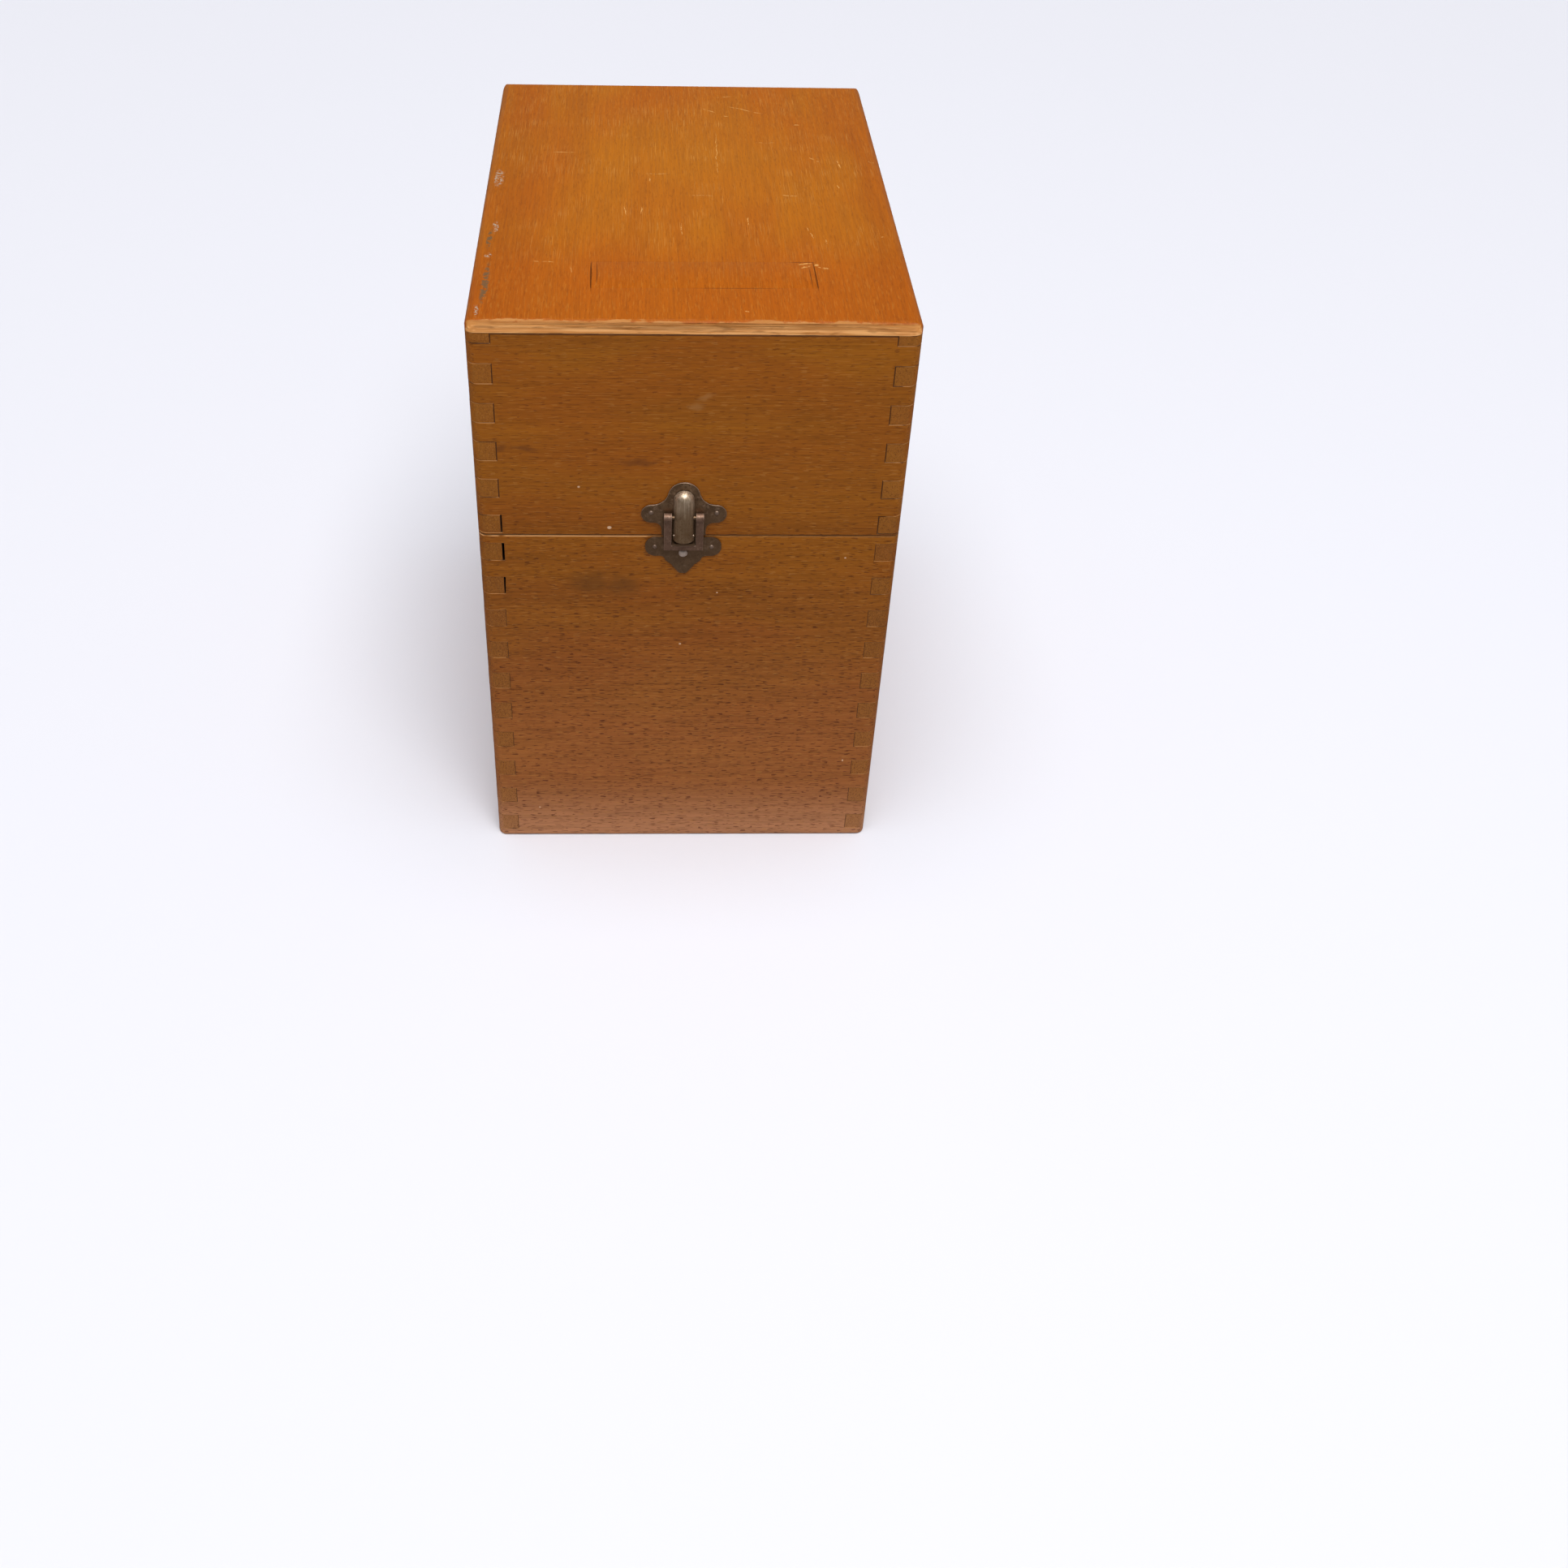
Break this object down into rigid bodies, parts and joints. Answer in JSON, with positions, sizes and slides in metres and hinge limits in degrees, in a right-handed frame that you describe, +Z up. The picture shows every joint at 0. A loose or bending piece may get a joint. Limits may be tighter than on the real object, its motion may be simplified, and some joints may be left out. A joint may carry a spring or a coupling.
{
  "type": "hinged wooden box",
  "caption": "Tall finger-jointed wooden box with a deep lid hinged at the back and a bronze toggle draw catch in front.",
  "frame": {"origin": "centre of the box's flat underside, which stands on the table", "axes": "+Z up, along the height; +X to the right seen from the catch side; -Y towards the catch, +Y towards the hinges"},
  "size_m": [0.2, 0.2919, 0.312],
  "materials": {
    "wall_wood": "brown stained beech, satin varnish, worn edges",
    "top_wood": "orange-brown stained veneer, satin varnish, scratched",
    "bottom_wood": "bare plywood",
    "catch_bronze": "antique bronze, dark, worn along the edges",
    "lever_bronze": "antique bronze, rubbed smooth",
    "worn_bronze": "antique bronze, rubbed bright",
    "hinge_bronze": "antique bronze, dark"
  },
  "bodies": {
    "base": {"base_front_board": "wall_wood", "base_back_board": "wall_wood", "base_left_board": "wall_wood", "base_right_board": "wall_wood", "base_bottom_panel": "bottom_wood", "hinge_left_base_leaf": "hinge_bronze", "hinge_right_base_leaf": "hinge_bronze", "hinge_left_pin": "worn_bronze", "hinge_right_pin": "worn_bronze", "hinge_base_screws": "worn_bronze", "catch_hook_plate": "catch_bronze", "catch_hook_plate_nails": "worn_bronze"},
    "lid": {"lid_front_board": "wall_wood", "lid_back_board": "wall_wood", "lid_left_board": "wall_wood", "lid_right_board": "wall_wood", "lid_top_panel": "top_wood", "lid_inlaid_patch": "top_wood", "hinge_left_lid_leaf": "hinge_bronze", "hinge_right_lid_leaf": "hinge_bronze", "hinge_lid_screws": "worn_bronze", "catch_lid_plate": "catch_bronze", "catch_lid_plate_nails": "worn_bronze", "catch_pivot_pin": "worn_bronze"},
    "lever": {"catch_lever": "lever_bronze"},
    "bail_pin": {"catch_bail_pin": "worn_bronze"},
    "bail": {"catch_bail": "catch_bronze"}
  },
  "joints": [
    {"name": "lid_hinge", "type": "hinge", "parent": "base", "child": "lid", "pos_m": [0, 0.1427, 0.2], "axis": [-1, 0, 0], "range_deg": [0, 180]},
    {"name": "lever_pivot", "type": "hinge", "parent": "lid", "child": "lever", "pos_m": [-0.003, -0.1436, 0.2022], "axis": [1, 0, 0], "range_deg": [0, 90]},
    {"name": "bail_pin_roll", "type": "hinge", "parent": "lever", "child": "bail_pin", "pos_m": [-0.003, -0.143, 0.212], "axis": [-1, 0, 0], "range_deg": [0, 90]},
    {"name": "bail_swing", "type": "hinge", "parent": "bail_pin", "child": "bail", "pos_m": [-0.003, -0.143, 0.212], "axis": [-1, 0, 0], "range_deg": [0, 170]}
  ],
  "couplings": [
    {"joint": "bail_pin_roll", "follows": "lever_pivot", "ratio": 1}
  ]
}
